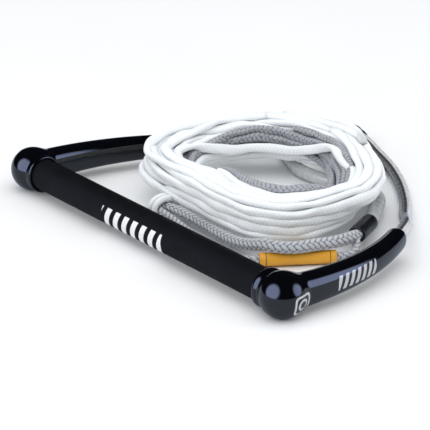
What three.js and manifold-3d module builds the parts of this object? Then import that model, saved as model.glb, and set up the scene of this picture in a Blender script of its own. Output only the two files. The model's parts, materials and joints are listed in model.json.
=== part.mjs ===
// A 15-inch tow rope handle with its rope bridle, coated handle section and coiled main line,
// lying on a table.
// Millimetres. X runs along the grip, Y from the grip towards the rope, Z up from the table.
import * as THREE from 'three';
import { mergeVertices } from 'three/addons/utils/BufferGeometryUtils.js';
import Module from 'manifold-3d';

const wasm = await Module();
wasm.setup();

// ---- Driving dimensions ----

const GAP = 0.3; // clearance between neighbouring pieces
const ROUND = 24; // facets round the bar, its sockets and its plugs

// Bar and grip
const BAR_HEIGHT = 18; // bar axis above the table
const BAR_RADIUS = 11;
const BAR_BORE = 9.5;
const BAR_HALF = 184; // half the bar's length
const GRIP_RADIUS = 13.5;
const GRIP_HALF = 157.5; // half the grip's length, with the ends inside the arm collars
const PLUG_INNER = 149; // end plug, distances from the bar's middle
const PLUG_OUTER = 165;

// Moulded arms
const ELBOW_X = 173.6;
const ELBOW_RADIUS = 19;
const COLLAR_MOUTH = 154.5;
const COLLAR_RADIUS = 16.4;
const ARM_LENGTH = 155; // along the arm's curved centreline
const ARM_TOE_OUT = 7 * Math.PI / 180; // heading of the arm where it leaves the elbow
const ARM_BEND = 0.0046; // turn inwards, radians per millimetre
const ARM_WIDTH = [12.5, 8.7]; // half widths at the elbow and the tip
const ARM_HEIGHT = [14.5, 9.4]; // half heights at the elbow and the tip
const SCREW_X = 162; // lock screw, up through collar, bar and plug

// Ropes
const CORE_RADIUS = 2.75;
const JACKET_BORE = 3.05;
const STOP_BORE = 3.5; // of the swaged stop on the rope's end
const ROPE_HOLE = 3.6; // radius of the hole through the bar's wall
const HITCH_ROPE = 3.2; // radius of the main line's end loop
const LEG_RADIUS = 5.5; // bridle rope over its jacket
const TUBE_RADIUS = 6; // handle section over its jacket
const LEG_REST = LEG_RADIUS + 0.2; // centre height of a rope that lies on the table
const TUBE_REST = TUBE_RADIUS + 0.2;
const HINGE_AFTER_TIP = 14; // the rope bends this far outside the arm's mouth
const BEND_ROOM = 9; // rope left out on each side of the bend
const YOKE_LENGTH = 34;
const YOKE_HEADING = THREE.MathUtils.degToRad(162.5);
const YOKE_START = new THREE.Vector2(-83.7, 291.5);
const LEG_SPACING = 11.8; // between the two bridle ropes in the yoke
const SLEEVE_RADIUS = 7.3;
const SLEEVE_FIT = 0.5; // room round a rope inside a shrink sleeve
const EYE_THICK = 5.3; // spliced leg of the eye
const EYE_THIN = 3.8; // single leg of the eye
const LABEL_BORE = 4.3;
const LABEL_RADIUS = 5.6;

// Coil: turns of flat-lying rope stacked in columns and rows round an oval
const COIL_CENTRE = new THREE.Vector2(-20, 137);
const COIL_SEMI = new THREE.Vector2(86, 80); // to the middle of the bundle
const COIL_BOTTOM = 14.3;
const STRAND_RADIUS = 3.6;
const STRAND_FLATNESS = 0.7; // height of a strand over its width
const COLUMN_PITCH = 8.3;
const ROW_PITCH = 5.6;
const COLUMNS = 5;
const ROWS = 6;
const STEPS_PER_TURN = 14;
const ENDS_CUT = 7; // facets short of whole turns: one at the start, six before the last turn would shift
const COIL_START = THREE.MathUtils.degToRad(24);
const SWING_CLEAR = 3.8;
const COIL_TOP = COIL_BOTTOM + ROWS * ROW_PITCH;

// ---- Materials ----

function material(colour, roughness, metalness = 0) {
  return new THREE.MeshStandardMaterial({ color: colour, roughness, metalness });
}

const LOOKS = {
  rubber: () => material(0x151515, 0.85),
  aluminium: () => material(0xb8babd, 0.35, 1),
  foam: () => material(0xe8e2cf, 0.9),
  glossBlack: () => material(0x0b0d12, 0.12),
  blackPlastic: () => material(0x1a1b1e, 0.5),
  steel: () => material(0x9a9c9f, 0.3, 1),
  darkBraid: () => material(0x3d4042, 0.8),
  clearJacket: () => material(0xc4c4c9, 0.35),
  greyJacket: () => material(0xb6b9b8, 0.35),
  shrinkSleeve: () => material(0x101214, 0.4),
  greyBraid: () => material(0x9da1a8, 0.75),
  whiteRope: () => material(0xe6ebf0, 0.7),
  label: () => material(0xe8aa32, 0.4),
};

// ---- Solids ----

function solidOf(geometry) {
  const bare = new THREE.BufferGeometry();
  bare.setAttribute('position', geometry.attributes.position);
  bare.setIndex(geometry.index);
  const merged = mergeVertices(bare, 1e-3);
  return new wasm.Manifold(new wasm.Mesh({
    numProp: 3,
    vertProperties: merged.attributes.position.array,
    triVerts: new Uint32Array(merged.index.array),
  }));
}

function geometryOf(solid) {
  const mesh = solid.getMesh();
  const geometry = new THREE.BufferGeometry();
  geometry.setAttribute('position', new THREE.BufferAttribute(mesh.vertProperties, 3));
  geometry.setIndex(new THREE.BufferAttribute(mesh.triVerts, 1));
  geometry.computeVertexNormals();
  return geometry;
}

function joined(...geometries) {
  return geometryOf(geometries.map(solidOf).reduce((whole, piece) => whole.add(piece)));
}

function cut(geometry, ...tools) {
  return geometryOf(tools.map(solidOf).reduce((whole, tool) => whole.subtract(tool), solidOf(geometry)));
}

// A body of revolution about the bar axis. A profile point is [distance from the bar's middle, radius].
// side is 1 for the right end and -1 for the left.
function turnedOnBar(profile, side = 1, facets = ROUND) {
  const outline = profile.map(([along, radius]) => new THREE.Vector2(radius, along));
  const geometry = new THREE.LatheGeometry(outline, facets);
  geometry.rotateZ(-side * Math.PI / 2);
  geometry.translate(0, 0, BAR_HEIGHT);
  return geometry;
}

function rod(start, end, radius) {
  return [[start, 0], [start, radius], [end, radius], [end, 0]];
}

function pipe(start, end, bore, radius) {
  return [[start, bore], [start, radius], [end, radius], [end, bore], [start, bore]];
}

// A path whose parameter runs evenly, so that neighbouring turns get their facets side by side.
class EvenPath extends THREE.Curve {
  constructor(pointAt) {
    super();
    this.pointAt = pointAt;
  }

  getPoint(t) {
    return this.pointAt(t);
  }

  getPointAt(t) {
    return this.pointAt(t);
  }

  getTangentAt(t) {
    return this.getTangent(t);
  }
}

function ring(radius, bore = 0) {
  const shape = new THREE.Shape();
  shape.absarc(0, 0, radius, 0, Math.PI * 2);
  if (bore > 0) {
    const hole = new THREE.Path();
    hole.absarc(0, 0, bore, 0, Math.PI * 2, true);
    shape.holes.push(hole);
  }
  return shape;
}

// A full arc is drawn with two facets for each curve segment.
function swept(path, radius, steps, sides = 8, bore = 0) {
  return new THREE.ExtrudeGeometry(ring(radius, bore), {
    steps,
    extrudePath: path,
    curveSegments: sides / 2,
    bevelEnabled: false,
  });
}

function smoothPath(...points) {
  return new THREE.CatmullRomCurve3(points.map((p) => new THREE.Vector3(...p)), false, 'centripetal');
}

// ---- Handle ----

// Centreline of an arm at a distance from the elbow. It runs straight across the bar and straight
// on past the tip.
function armPoint(side, distance) {
  const s = THREE.MathUtils.clamp(distance, 0, ARM_LENGTH);
  const heading = ARM_BEND * s - ARM_TOE_OUT;
  const past = Math.max(distance - ARM_LENGTH, 0);
  const x = ELBOW_X - (Math.cos(ARM_TOE_OUT) - Math.cos(heading)) / ARM_BEND - past * Math.sin(heading);
  const y = (Math.sin(heading) + Math.sin(ARM_TOE_OUT)) / ARM_BEND
    + Math.min(distance, 0) + past * Math.cos(heading);
  return new THREE.Vector3(side * x, y, BAR_HEIGHT);
}

function armPath(side, from, to) {
  return new EvenPath((t) => armPoint(side, from + (to - from) * t));
}

// Tapered arm: a lathe of unit radius, its rings scaled to the arm's section and laid along the centreline.
function armLoft(side) {
  const rings = 14;
  const corner = 0.85; // below 1 squares the oval section
  const noseStart = 0.93;
  const noseTaper = 0.1;
  const outline = [new THREE.Vector2(0, 0)];
  for (let i = 0; i <= rings; i += 1) {
    outline.push(new THREE.Vector2(1, i / rings));
  }
  outline.push(new THREE.Vector2(0, 1));
  const geometry = new THREE.LatheGeometry(outline, 14);
  const position = geometry.attributes.position;
  for (let i = 0; i < position.count; i += 1) {
    const along = position.getY(i);
    const ease = along ** 0.75;
    const nose = 1 - noseTaper * THREE.MathUtils.smoothstep(along, noseStart, 1);
    const squared = (value) => Math.sign(value) * Math.abs(value) ** corner * nose;
    const across = squared(position.getX(i)) * THREE.MathUtils.lerp(...ARM_WIDTH, ease);
    const up = squared(position.getZ(i)) * THREE.MathUtils.lerp(...ARM_HEIGHT, ease);
    const centre = armPoint(side, along * ARM_LENGTH);
    const heading = side * (ARM_BEND * along * ARM_LENGTH - ARM_TOE_OUT);
    position.setXYZ(
      i,
      centre.x + across * Math.cos(heading),
      centre.y + across * Math.sin(heading),
      centre.z + up,
    );
  }
  return geometry;
}

// Screw that goes up into the collar from below. A positive grow turns it into the tool that cuts its hole.
function lockScrew(grow) {
  const head = [4.9 + grow, 3.3 + grow];
  const shank = [11.4 + grow, 1.8 + grow];
  const foot = grow > 0 ? -1 : 3;
  return new THREE.LatheGeometry([
    new THREE.Vector2(0, foot),
    new THREE.Vector2(head[1], foot),
    new THREE.Vector2(head[1], head[0]),
    new THREE.Vector2(shank[1], head[0]),
    new THREE.Vector2(shank[1], shank[0]),
    new THREE.Vector2(0, shank[0]),
  ], 12).rotateX(Math.PI / 2);
}

function screwAt(side, grow = 0) {
  return lockScrew(grow).translate(side * SCREW_X, 0, 0);
}

function arm(side) {
  const ball = new THREE.SphereGeometry(ELBOW_RADIUS, 20, 14).translate(side * ELBOW_X, 0, BAR_HEIGHT);
  const collar = turnedOnBar([
    [COLLAR_MOUTH, 0],
    [COLLAR_MOUTH, COLLAR_RADIUS - 0.6],
    [COLLAR_MOUTH + 0.8, COLLAR_RADIUS],
    [COLLAR_MOUTH + 4, COLLAR_RADIUS],
    [COLLAR_MOUTH + 9, COLLAR_RADIUS - 1.2],
    [ELBOW_X, COLLAR_RADIUS - 1.2],
    [ELBOW_X, 0],
  ], side);
  const table = new THREE.BoxGeometry(80, 80, 20).translate(side * ELBOW_X, 0, -10);
  return cut(
    joined(ball, collar, armLoft(side)),
    turnedOnBar(rod(COLLAR_MOUTH - 5, GRIP_HALF + GAP, GRIP_RADIUS + GAP), side),
    turnedOnBar(rod(COLLAR_MOUTH - 5, BAR_HALF + GAP, BAR_RADIUS + GAP), side),
    swept(armPath(side, 4, ARM_LENGTH + 3), CORE_RADIUS + 0.6, 14, 8),
    swept(armPath(side, ARM_LENGTH - 20, ARM_LENGTH + 3), LEG_RADIUS + GAP, 3, 12),
    screwAt(side, GAP),
    table,
  );
}

function bar() {
  const ropeHole = (side) => new THREE.CylinderGeometry(ROPE_HOLE, ROPE_HOLE, 14, 12)
    .translate(armPoint(side, BAR_RADIUS).x, 12, BAR_HEIGHT);
  return cut(
    turnedOnBar(pipe(-BAR_HALF, BAR_HALF, BAR_BORE, BAR_RADIUS)),
    ropeHole(1),
    ropeHole(-1),
    screwAt(1, GAP),
    screwAt(-1, GAP),
  );
}

function endPlug(side) {
  const radius = BAR_BORE - GAP;
  return cut(
    turnedOnBar([
      [PLUG_INNER, 0],
      [PLUG_INNER, radius - 0.8],
      [PLUG_INNER + 2, radius],
      [PLUG_OUTER, radius],
      [PLUG_OUTER, 0],
    ], side),
    screwAt(side, GAP),
  );
}

// Swaged stop that holds the rope end inside the bar.
function ropeStop(side) {
  return new THREE.LatheGeometry([
    new THREE.Vector2(STOP_BORE, -6),
    new THREE.Vector2(5, -6),
    new THREE.Vector2(5.4, -5),
    new THREE.Vector2(5.4, 3),
    new THREE.Vector2(5, 4),
    new THREE.Vector2(STOP_BORE, 4),
    new THREE.Vector2(STOP_BORE, -6),
  ], 12).translate(side * ELBOW_X, 0, BAR_HEIGHT);
}

const HINGE_S = ARM_LENGTH + HINGE_AFTER_TIP;

function tailCore(side) {
  return swept(armPath(side, -5.6, HINGE_S - BEND_ROOM), CORE_RADIUS, 14, 6);
}

function tailJacket(side) {
  return swept(armPath(side, ARM_LENGTH - 19.5, HINGE_S - BEND_ROOM), LEG_RADIUS, 3, 12, JACKET_BORE);
}

// ---- Bridle ----

const yokeAlong = new THREE.Vector2(Math.cos(YOKE_HEADING), Math.sin(YOKE_HEADING));
const yokeAcross = new THREE.Vector2(-yokeAlong.y, yokeAlong.x);

function yokePoint(along, across) {
  const p = YOKE_START.clone().addScaledVector(yokeAlong, along).addScaledVector(yokeAcross, across);
  return new THREE.Vector3(p.x, p.y, LEG_REST + 1.5);
}

// A leg starts just past the bend, in line with the arm, and ends inside the yoke.
function legPath(side, ...between) {
  const start = armPoint(side, HINGE_S + BEND_ROOM);
  const next = armPoint(side, HINGE_S + BEND_ROOM + 4);
  const across = -side * LEG_SPACING / 2;
  return smoothPath(
    start.toArray(),
    next.toArray(),
    ...between,
    yokePoint(-14, across).toArray(),
    yokePoint(0, across).toArray(),
    yokePoint(15, across).toArray(),
  );
}

const RIGHT_LEG = legPath(
  1,
  [96, 193, 11],
  [65, 221, LEG_REST + 0.5],
  [30, 247, LEG_REST],
  [-8, 269, LEG_REST],
  [-42, 283.5, LEG_REST],
);

// The left leg is as long, so its slack lies in a bight between the coil and the right leg.
const LEFT_LEG = legPath(
  -1,
  [-120.5, 182, 18],
  [-118, 200, 18],
  [-113, 218, 18.2],
  [-102, 232, 17],
  [-84, 242.5, 9.5],
  [-58, 244, LEG_REST + 0.3],
  [-31, 239.5, LEG_REST],
  [-14, 251, LEG_REST],
  [-27, 263.5, LEG_REST],
  [-52, 273, LEG_REST],
);

function yokeSleeve() {
  const shape = new THREE.Shape();
  const radius = LEG_RADIUS + 1.6;
  shape.absarc(LEG_SPACING / 2, 0, radius, -Math.PI / 2, Math.PI / 2);
  shape.absarc(-LEG_SPACING / 2, 0, radius, Math.PI / 2, Math.PI * 1.5);
  shape.closePath();
  const body = new THREE.ExtrudeGeometry(shape, {
    steps: 1,
    depth: YOKE_LENGTH,
    curveSegments: 8,
    bevelEnabled: false,
  });
  body.rotateX(Math.PI / 2);
  body.rotateZ(YOKE_HEADING + Math.PI / 2);
  body.translate(...yokePoint(0, 0).toArray());
  const bore = (from, to, across, size) => swept(
    new THREE.LineCurve3(yokePoint(from, across), yokePoint(to, across)),
    size,
    1,
    12,
  );
  return cut(
    body,
    bore(-2, 15.5, LEG_SPACING / 2, LEG_RADIUS + GAP),
    bore(-2, 15.5, -LEG_SPACING / 2, LEG_RADIUS + GAP),
    bore(19, YOKE_LENGTH + 2, 0, TUBE_RADIUS + SLEEVE_FIT),
  );
}

// ---- Handle section: yoke, back under the coil and round to the sleeve ----

function tubePath() {
  const bend = 36;
  const centre = yokePoint(YOKE_LENGTH + 2, bend);
  const start = YOKE_HEADING - Math.PI / 2;
  const arc = [0.2, 0.4, 0.6, 0.8, 1].map((share) => {
    const angle = start + share * Math.PI;
    return [centre.x + bend * Math.cos(angle), centre.y + bend * Math.sin(angle), TUBE_REST];
  });
  return smoothPath(
    yokePoint(19.5, 0).toArray(),
    yokePoint(27, 0).toArray(),
    yokePoint(YOKE_LENGTH + 2, 0).toArray(),
    ...arc,
    [-95, 219, TUBE_REST],
    [-56, 203, TUBE_REST],
    [-20, 204, TUBE_REST],
    [12, 213, TUBE_REST],
    [35, 213, 7.5],
    [54, 200.5, 10],
    [76, 177, 13.5],
    ...[-6, 4, 12, 20].map((along) => sleevePoint(along).toArray()),
  );
}

const SLEEVE_START = new THREE.Vector3(92.5, 157.5, 14.5);
const SLEEVE_END = new THREE.Vector3(110, 128.5, 15.5);

function sleevePoint(along) {
  const axis = SLEEVE_END.clone().sub(SLEEVE_START).normalize();
  return SLEEVE_START.clone().addScaledVector(axis, along);
}

const SLEEVE_LENGTH = SLEEVE_START.distanceTo(SLEEVE_END);

function endSleeve() {
  const line = (from, to) => new THREE.LineCurve3(sleevePoint(from), sleevePoint(to));
  return cut(
    swept(line(0, SLEEVE_LENGTH), SLEEVE_RADIUS, 1, 16),
    swept(line(-2, 20.5), TUBE_RADIUS + SLEEVE_FIT, 1, 12),
    swept(line(24, SLEEVE_LENGTH + 2), EYE_THICK + SLEEVE_FIT, 1, 12),
  );
}

// ---- Eye loop, label and lark's head ----

const LABEL_START = new THREE.Vector3(117, 101, LABEL_RADIUS + 0.2);
const LABEL_END = new THREE.Vector3(85, 47, LABEL_RADIUS + 0.2);
const EYE_LEG_SPACING = 9;
const EYE_FAR = new THREE.Vector3(-45, 46.5, 11.3);

// Spliced upper leg over the label, then the single lower leg back through the label, as one rope.
function eyeLoop() {
  const upper = smoothPath(
    sleevePoint(24.5).toArray(),
    sleevePoint(SLEEVE_LENGTH).toArray(),
    [113.5, 115, 16.8],
    [113.5, 101, 17.2],
    [109, 86, 17.2],
    [104, 70, 17.2],
    [94, 58.5, 17.2],
    [83, 54, 16.8],
    [68, 51.5, 12],
    [50, 50.5, 8.4],
    [30, 51, 7.4],
    [8, 52, 7.4],
  );
  const labelAxis = LABEL_END.clone().sub(LABEL_START).normalize();
  const before = LABEL_START.clone().addScaledVector(labelAxis, -6);
  const after = LABEL_END.clone().addScaledVector(labelAxis, 3);
  const half = EYE_LEG_SPACING / 2;
  const lower = smoothPath(
    [16, 51.8, 7.4],
    [-4, 52, 8],
    [-24, EYE_FAR.y + half, EYE_FAR.z],
    [EYE_FAR.x, EYE_FAR.y + half, EYE_FAR.z],
    [EYE_FAR.x - 9, EYE_FAR.y + half, EYE_FAR.z],
    [EYE_FAR.x - 14, EYE_FAR.y, EYE_FAR.z],
    [EYE_FAR.x - 9, EYE_FAR.y - half, EYE_FAR.z],
    [EYE_FAR.x, EYE_FAR.y - half, EYE_FAR.z],
    [-24, EYE_FAR.y - half - 0.5, EYE_FAR.z],
    [0, 40.5, 5.5],
    [30, 38, 4.2],
    [60, 37, 4.2],
    [76, 39, 5],
    after.toArray(),
    LABEL_END.toArray(),
    LABEL_START.clone().lerp(LABEL_END, 0.5).toArray(),
    LABEL_START.toArray(),
    before.toArray(),
    [121.5, 113.5, 6.5],
    [118.5, 120.5, 9.5],
    sleevePoint(SLEEVE_LENGTH + 4).toArray(),
    sleevePoint(SLEEVE_LENGTH - 8).toArray(),
  );
  return joined(swept(upper, EYE_THICK, 24, 10), swept(lower, EYE_THIN, 46, 8));
}

function labelSleeve() {
  return swept(new THREE.LineCurve3(LABEL_START, LABEL_END), LABEL_RADIUS, 1, 16, LABEL_BORE);
}

// The main line's own end loop, drawn up as a hitch round both legs of the eye. Its two turns make
// one flat band.
function leadLoop() {
  const across = EYE_LEG_SPACING / 2 + EYE_THIN + 1 + HITCH_ROPE;
  const pinch = 0.64; // height of the hitch over its width
  const twoTurns = 1.7; // width of the band over one rope
  return new THREE.TorusGeometry(across, HITCH_ROPE, 8, 18)
    .scale(pinch, 1, twoTurns)
    .rotateY(Math.PI / 2)
    .translate(...EYE_FAR.toArray());
}

// ---- Coil ----

const DENTS = [
  { at: -105, spread: 46, depth: 22 }, // over the eye loop
  { at: 26, spread: 32, depth: 12 }, // beside the handle section
  { at: 165, spread: 22, depth: 5 }, // beside the left bridle rope
];

function coilPoint(angle, offset, height) {
  const turn = THREE.MathUtils.radToDeg(angle);
  const dent = DENTS.reduce((sum, d) => {
    const away = THREE.MathUtils.euclideanModulo(turn - d.at + 180, 360) - 180;
    return sum + d.depth * Math.exp(-((away / d.spread) ** 2));
  }, 0);
  const reach = offset - dent;
  return new THREE.Vector3(
    COIL_CENTRE.x + (COIL_SEMI.x + reach) * Math.cos(angle),
    COIL_CENTRE.y + (COIL_SEMI.y + reach) * Math.sin(angle),
    height,
  );
}

function columnOffset(column) {
  return (column - (COLUMNS - 1) / 2) * COLUMN_PITCH;
}

function rowHeight(row) {
  return COIL_BOTTOM + (row + 0.5) * ROW_PITCH;
}

// A rope wound to and fro over its columns, row by row. All turns shift together on the far side of
// the coil: each steps sideways to the next column, and the last of a row climbs instead, swinging
// clear of the ones beside it.
function winding(columns, firstRow, turns) {
  const slot = (turn) => {
    const row = Math.floor(turn / columns.length);
    const place = turn % columns.length;
    return { column: columns[row % 2 ? columns.length - 1 - place : place], row: firstRow + row };
  };
  const steps = turns * STEPS_PER_TURN - ENDS_CUT;
  const path = new EvenPath((t) => {
    const along = (1 + t * steps) / STEPS_PER_TURN;
    const turn = Math.min(Math.floor(along), turns - 1);
    const share = along - turn;
    const here = slot(turn);
    const next = turn + 1 < turns ? slot(turn + 1) : here;
    const shift = THREE.MathUtils.smoothstep(share, 0.62, 0.95);
    const swing = (next.row - here.row) * (here.column === columns[0] ? -1 : 1) * Math.sin(shift * Math.PI);
    const offset = THREE.MathUtils.lerp(columnOffset(here.column), columnOffset(next.column), shift)
      + swing * SWING_CLEAR;
    const height = THREE.MathUtils.lerp(rowHeight(here.row), rowHeight(next.row), shift);
    return coilPoint(COIL_START - share * Math.PI * 2, offset, height / STRAND_FLATNESS);
  });
  return swept(path, STRAND_RADIUS, steps, 6).scale(1, 1, STRAND_FLATNESS);
}

// Eye at the boat end of the main line, laid on top of the coil.
function boatEndLoop() {
  const from = THREE.MathUtils.degToRad(72);
  const to = THREE.MathUtils.degToRad(128);
  const height = COIL_TOP + STRAND_RADIUS + 0.4;
  const half = 6;
  const at = (share, offset) => coilPoint(THREE.MathUtils.lerp(from, to, share), offset, height).toArray();
  const leg = (side) => smoothPath(
    at(-0.2, 0),
    at(-0.02, side),
    at(0.12, side * 3.5),
    at(0.35, side * half),
    at(0.7, side * half),
    at(0.92, side * half),
    at(1, 0),
    at(0.98, -side * 2),
  );
  return joined(swept(leg(1), STRAND_RADIUS, 20, 6), swept(leg(-1), STRAND_RADIUS, 20, 6));
}

// ---- The assembly ----

const root = new THREE.Group();

function add(name, geometry, look) {
  const mesh = new THREE.Mesh(geometry, LOOKS[look]());
  mesh.name = name;
  root.add(mesh);
}

add('grip_sleeve', turnedOnBar(pipe(-GRIP_HALF, GRIP_HALF, BAR_RADIUS + GAP, GRIP_RADIUS)), 'rubber');
add('bar_tube', bar(), 'aluminium');
add('bar_foam_core', turnedOnBar(rod(-PLUG_INNER + 1, PLUG_INNER - 1, BAR_BORE - GAP)), 'foam');
for (const [name, side] of [['right', 1], ['left', -1]]) {
  add(`${name}_arm`, arm(side), 'glossBlack');
  add(`${name}_end_plug`, endPlug(side), 'blackPlastic');
  add(`${name}_lock_screw`, screwAt(side), 'steel');
  add(`${name}_rope_stop`, ropeStop(side), 'aluminium');
  add(`${name}_tail_core`, tailCore(side), 'darkBraid');
  add(`${name}_tail_jacket`, tailJacket(side), 'clearJacket');
}
for (const [name, path] of [['right', RIGHT_LEG], ['left', LEFT_LEG]]) {
  add(`${name}_bridle_core`, swept(path, CORE_RADIUS, 22, 6), 'darkBraid');
  add(`${name}_bridle_jacket`, swept(path, LEG_RADIUS, 22, 8, JACKET_BORE), 'clearJacket');
}
add('yoke_sleeve', yokeSleeve(), 'shrinkSleeve');
add('section_core', swept(tubePath(), CORE_RADIUS, 36, 6), 'darkBraid');
add('section_jacket', swept(tubePath(), TUBE_RADIUS, 36, 8, JACKET_BORE), 'greyJacket');
add('end_sleeve', endSleeve(), 'shrinkSleeve');
add('eye_loop', eyeLoop(), 'greyBraid');
add('label_sleeve', labelSleeve(), 'label');
add('lead_loop', leadLoop(), 'whiteRope');
add('first_takeoff_rope', winding([0], 0, 3), 'greyBraid');
add('second_takeoff_rope', winding([0], 3, 3), 'greyBraid');
add('main_line', winding([1, 2, 3, 4], 0, 4 * ROWS), 'whiteRope');
add('boat_end_loop', boatEndLoop(), 'whiteRope');

// The origin is under the middle of the whole object, on the table.
const box = new THREE.Box3().setFromObject(root);
root.position.set(-(box.min.x + box.max.x) / 2, -(box.min.y + box.max.y) / 2, -box.min.z);

export default root;
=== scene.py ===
"""A tow rope handle with its coated bridle, braided eye and coiled main line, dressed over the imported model.

Lengths are in millimetres until a mesh is made, measured from the point on the table under the grip's middle.
"""

import itertools
import json
import math

import bpy
import numpy as np
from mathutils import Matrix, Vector

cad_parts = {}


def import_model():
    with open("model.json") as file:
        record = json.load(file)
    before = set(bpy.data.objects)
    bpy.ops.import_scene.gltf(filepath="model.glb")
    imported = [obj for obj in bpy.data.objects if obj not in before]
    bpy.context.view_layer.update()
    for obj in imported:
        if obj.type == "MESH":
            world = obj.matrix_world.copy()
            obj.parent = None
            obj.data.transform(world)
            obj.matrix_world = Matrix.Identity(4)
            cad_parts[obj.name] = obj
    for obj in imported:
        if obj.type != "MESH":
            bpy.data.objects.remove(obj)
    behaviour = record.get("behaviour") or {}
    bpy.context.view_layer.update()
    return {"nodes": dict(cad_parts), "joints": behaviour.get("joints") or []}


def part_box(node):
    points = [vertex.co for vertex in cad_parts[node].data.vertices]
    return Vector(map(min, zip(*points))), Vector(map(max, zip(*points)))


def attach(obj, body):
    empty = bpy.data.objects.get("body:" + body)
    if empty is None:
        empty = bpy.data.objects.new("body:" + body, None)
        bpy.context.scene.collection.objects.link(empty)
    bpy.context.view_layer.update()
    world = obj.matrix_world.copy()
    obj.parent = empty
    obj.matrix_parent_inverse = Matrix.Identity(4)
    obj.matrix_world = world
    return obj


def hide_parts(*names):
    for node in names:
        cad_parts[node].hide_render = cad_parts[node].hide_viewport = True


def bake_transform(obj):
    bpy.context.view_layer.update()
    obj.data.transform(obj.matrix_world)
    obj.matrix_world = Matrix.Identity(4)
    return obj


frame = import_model()

MM = 0.001


# ---- Places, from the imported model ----

def corners(node):
    low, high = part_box(node)
    return np.array(low) / MM, np.array(high) / MM


def middle(node):
    low, high = corners(node)
    return (low + high) / 2


ORIGIN = middle("grip_sleeve") * [1, 1, 0]
BAR_HEIGHT = middle("grip_sleeve")[2]
GRIP_HALF = corners("grip_sleeve")[1][0]
GRIP_RADIUS = (corners("grip_sleeve")[1] - middle("grip_sleeve"))[2]
ELBOW = (middle("right_rope_stop") - ORIGIN) * [1, 0, 1]
ELBOW_RADIUS = corners("right_arm")[1][0] - ELBOW[0]
COLLAR_MOUTH = GRIP_HALF - 3.0
COLLAR_RADIUS = 16.4


def joint_place(name):
    joint = next(j for j in frame["joints"] if j["name"] == name)
    return np.array(joint["pos_m"]) / MM - ORIGIN


def ring_centres(node, reach=3.4):
    """Centres of the rings of a thin CAD rope, in order from one end, found by grouping its corners."""
    corner = np.array([v.co for v in frame["nodes"][node].data.vertices]) / MM - ORIGIN
    corner = np.unique(corner.round(3), axis=0)
    left = set(range(len(corner)))
    centres = []
    while left:
        group = {left.pop()}
        edge = set(group)
        while edge:
            near = {
                i for i in left
                if min(np.linalg.norm(corner[i] - corner[j]) for j in edge) < reach
            }
            left -= near
            group |= near
            edge = near
        centres.append(corner[list(group)].mean(0))
    centres = np.array(centres)
    apart = np.linalg.norm(centres[:, None] - centres[None], axis=2)
    order = [int(apart.sum(1).argmax())]
    while len(order) < len(centres):
        step = apart[order[-1]].copy()
        step[order] = np.inf
        order.append(int(step.argmin()))
    return centres[order]


def tube_ends(node):
    """Middles of the two ends of a straight CAD tube."""
    corner = np.array([v.co for v in frame["nodes"][node].data.vertices]) / MM - ORIGIN
    centre = (corner.min(0) + corner.max(0)) / 2
    axis = np.linalg.svd(corner - corner.mean(0), full_matrices=False)[2][0]
    along = (corner - centre) @ axis
    first, last = corner[along < along.min() + 0.5].mean(0), corner[along > along.max() - 0.5].mean(0)
    return np.array([first, last])


def starting_near(path, place):
    ends = np.linalg.norm(path[[0, -1]] - place, axis=1)
    return path if ends[0] < ends[1] else path[::-1]


# ---- Curves ----

def unit(vectors):
    return vectors / np.linalg.norm(vectors, axis=-1, keepdims=True)


def smooth_curve(points, spacing=1.0):
    """A centripetal Catmull-Rom curve through the points, sampled evenly."""
    p = np.asarray(points, float)
    p = np.vstack([2 * p[0] - p[1], p, 2 * p[-1] - p[-2]])
    pieces = []
    for a, b, c, d in zip(p, p[1:], p[2:], p[3:]):
        steps = [max(np.linalg.norm(v - u), 1e-6) ** 0.5 for u, v in ((a, b), (b, c), (c, d))]
        knots = np.cumsum([0] + steps)
        t = np.linspace(knots[1], knots[2], 24, endpoint=False)[:, None]
        mix = lambda u, v, i, j: (u * (knots[j] - t) + v * (t - knots[i])) / (knots[j] - knots[i])
        ab, bc, cd = mix(a, b, 0, 1), mix(b, c, 1, 2), mix(c, d, 2, 3)
        pieces.append(mix(mix(ab, bc, 0, 2), mix(bc, cd, 1, 3), 1, 2))
    return evenly(np.vstack(pieces + [p[-2:-1]]), spacing)


def evenly(path, spacing):
    length = np.concatenate([[0], np.cumsum(np.linalg.norm(np.diff(path, axis=0), axis=1))])
    count = max(int(round(length[-1] / spacing)), 2)
    at = np.linspace(0, length[-1], count + 1)
    return np.stack([np.interp(at, length, path[:, k]) for k in range(3)], axis=1)


def softened(path, rounds):
    """The path with its kinks eased, its ends held."""
    for _ in range(rounds):
        path = path.copy()
        path[1:-1] = path[1:-1] * 0.5 + (path[:-2] + path[2:]) * 0.25
    return path


def waves(seed, at, rates, size=1.0):
    """Smooth wandering of about unit size: one sine for each rate, with seeded phases."""
    rng = np.random.default_rng(seed)
    phase = rng.uniform(0, 2 * math.pi, len(rates))
    total = sum(np.sin(2 * math.pi * rate * at + shift) for rate, shift in zip(rates, phase))
    return size * total / math.sqrt(len(rates))


def smoothstep(low, high, value):
    t = np.clip((value - low) / (high - low), 0, 1)
    return t * t * (3 - 2 * t)


# ---- Meshes ----

def make(name, points, faces, look, body, uv=None, stands_for=(), slot=None):
    """A mesh piece from points in millimetres. uv holds one pair for each face corner."""
    mesh = bpy.data.meshes.new(name)
    mesh.from_pydata(((points + ORIGIN) * MM).tolist(), [], [list(map(int, f)) for f in faces])
    if uv is not None:
        layer = mesh.uv_layers.new(name="along_round")
        layer.data.foreach_set("uv", np.asarray(uv, np.float32).ravel())
    mesh.polygons.foreach_set("use_smooth", [True] * len(mesh.polygons))
    mesh.materials.append(look)
    mesh.validate()
    mesh.update()
    piece = bpy.data.objects.new(name, mesh)
    bpy.context.scene.collection.objects.link(piece)
    if body:
        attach(piece, body)
    if stands_for:
        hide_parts(*stands_for)
    return piece


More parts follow.
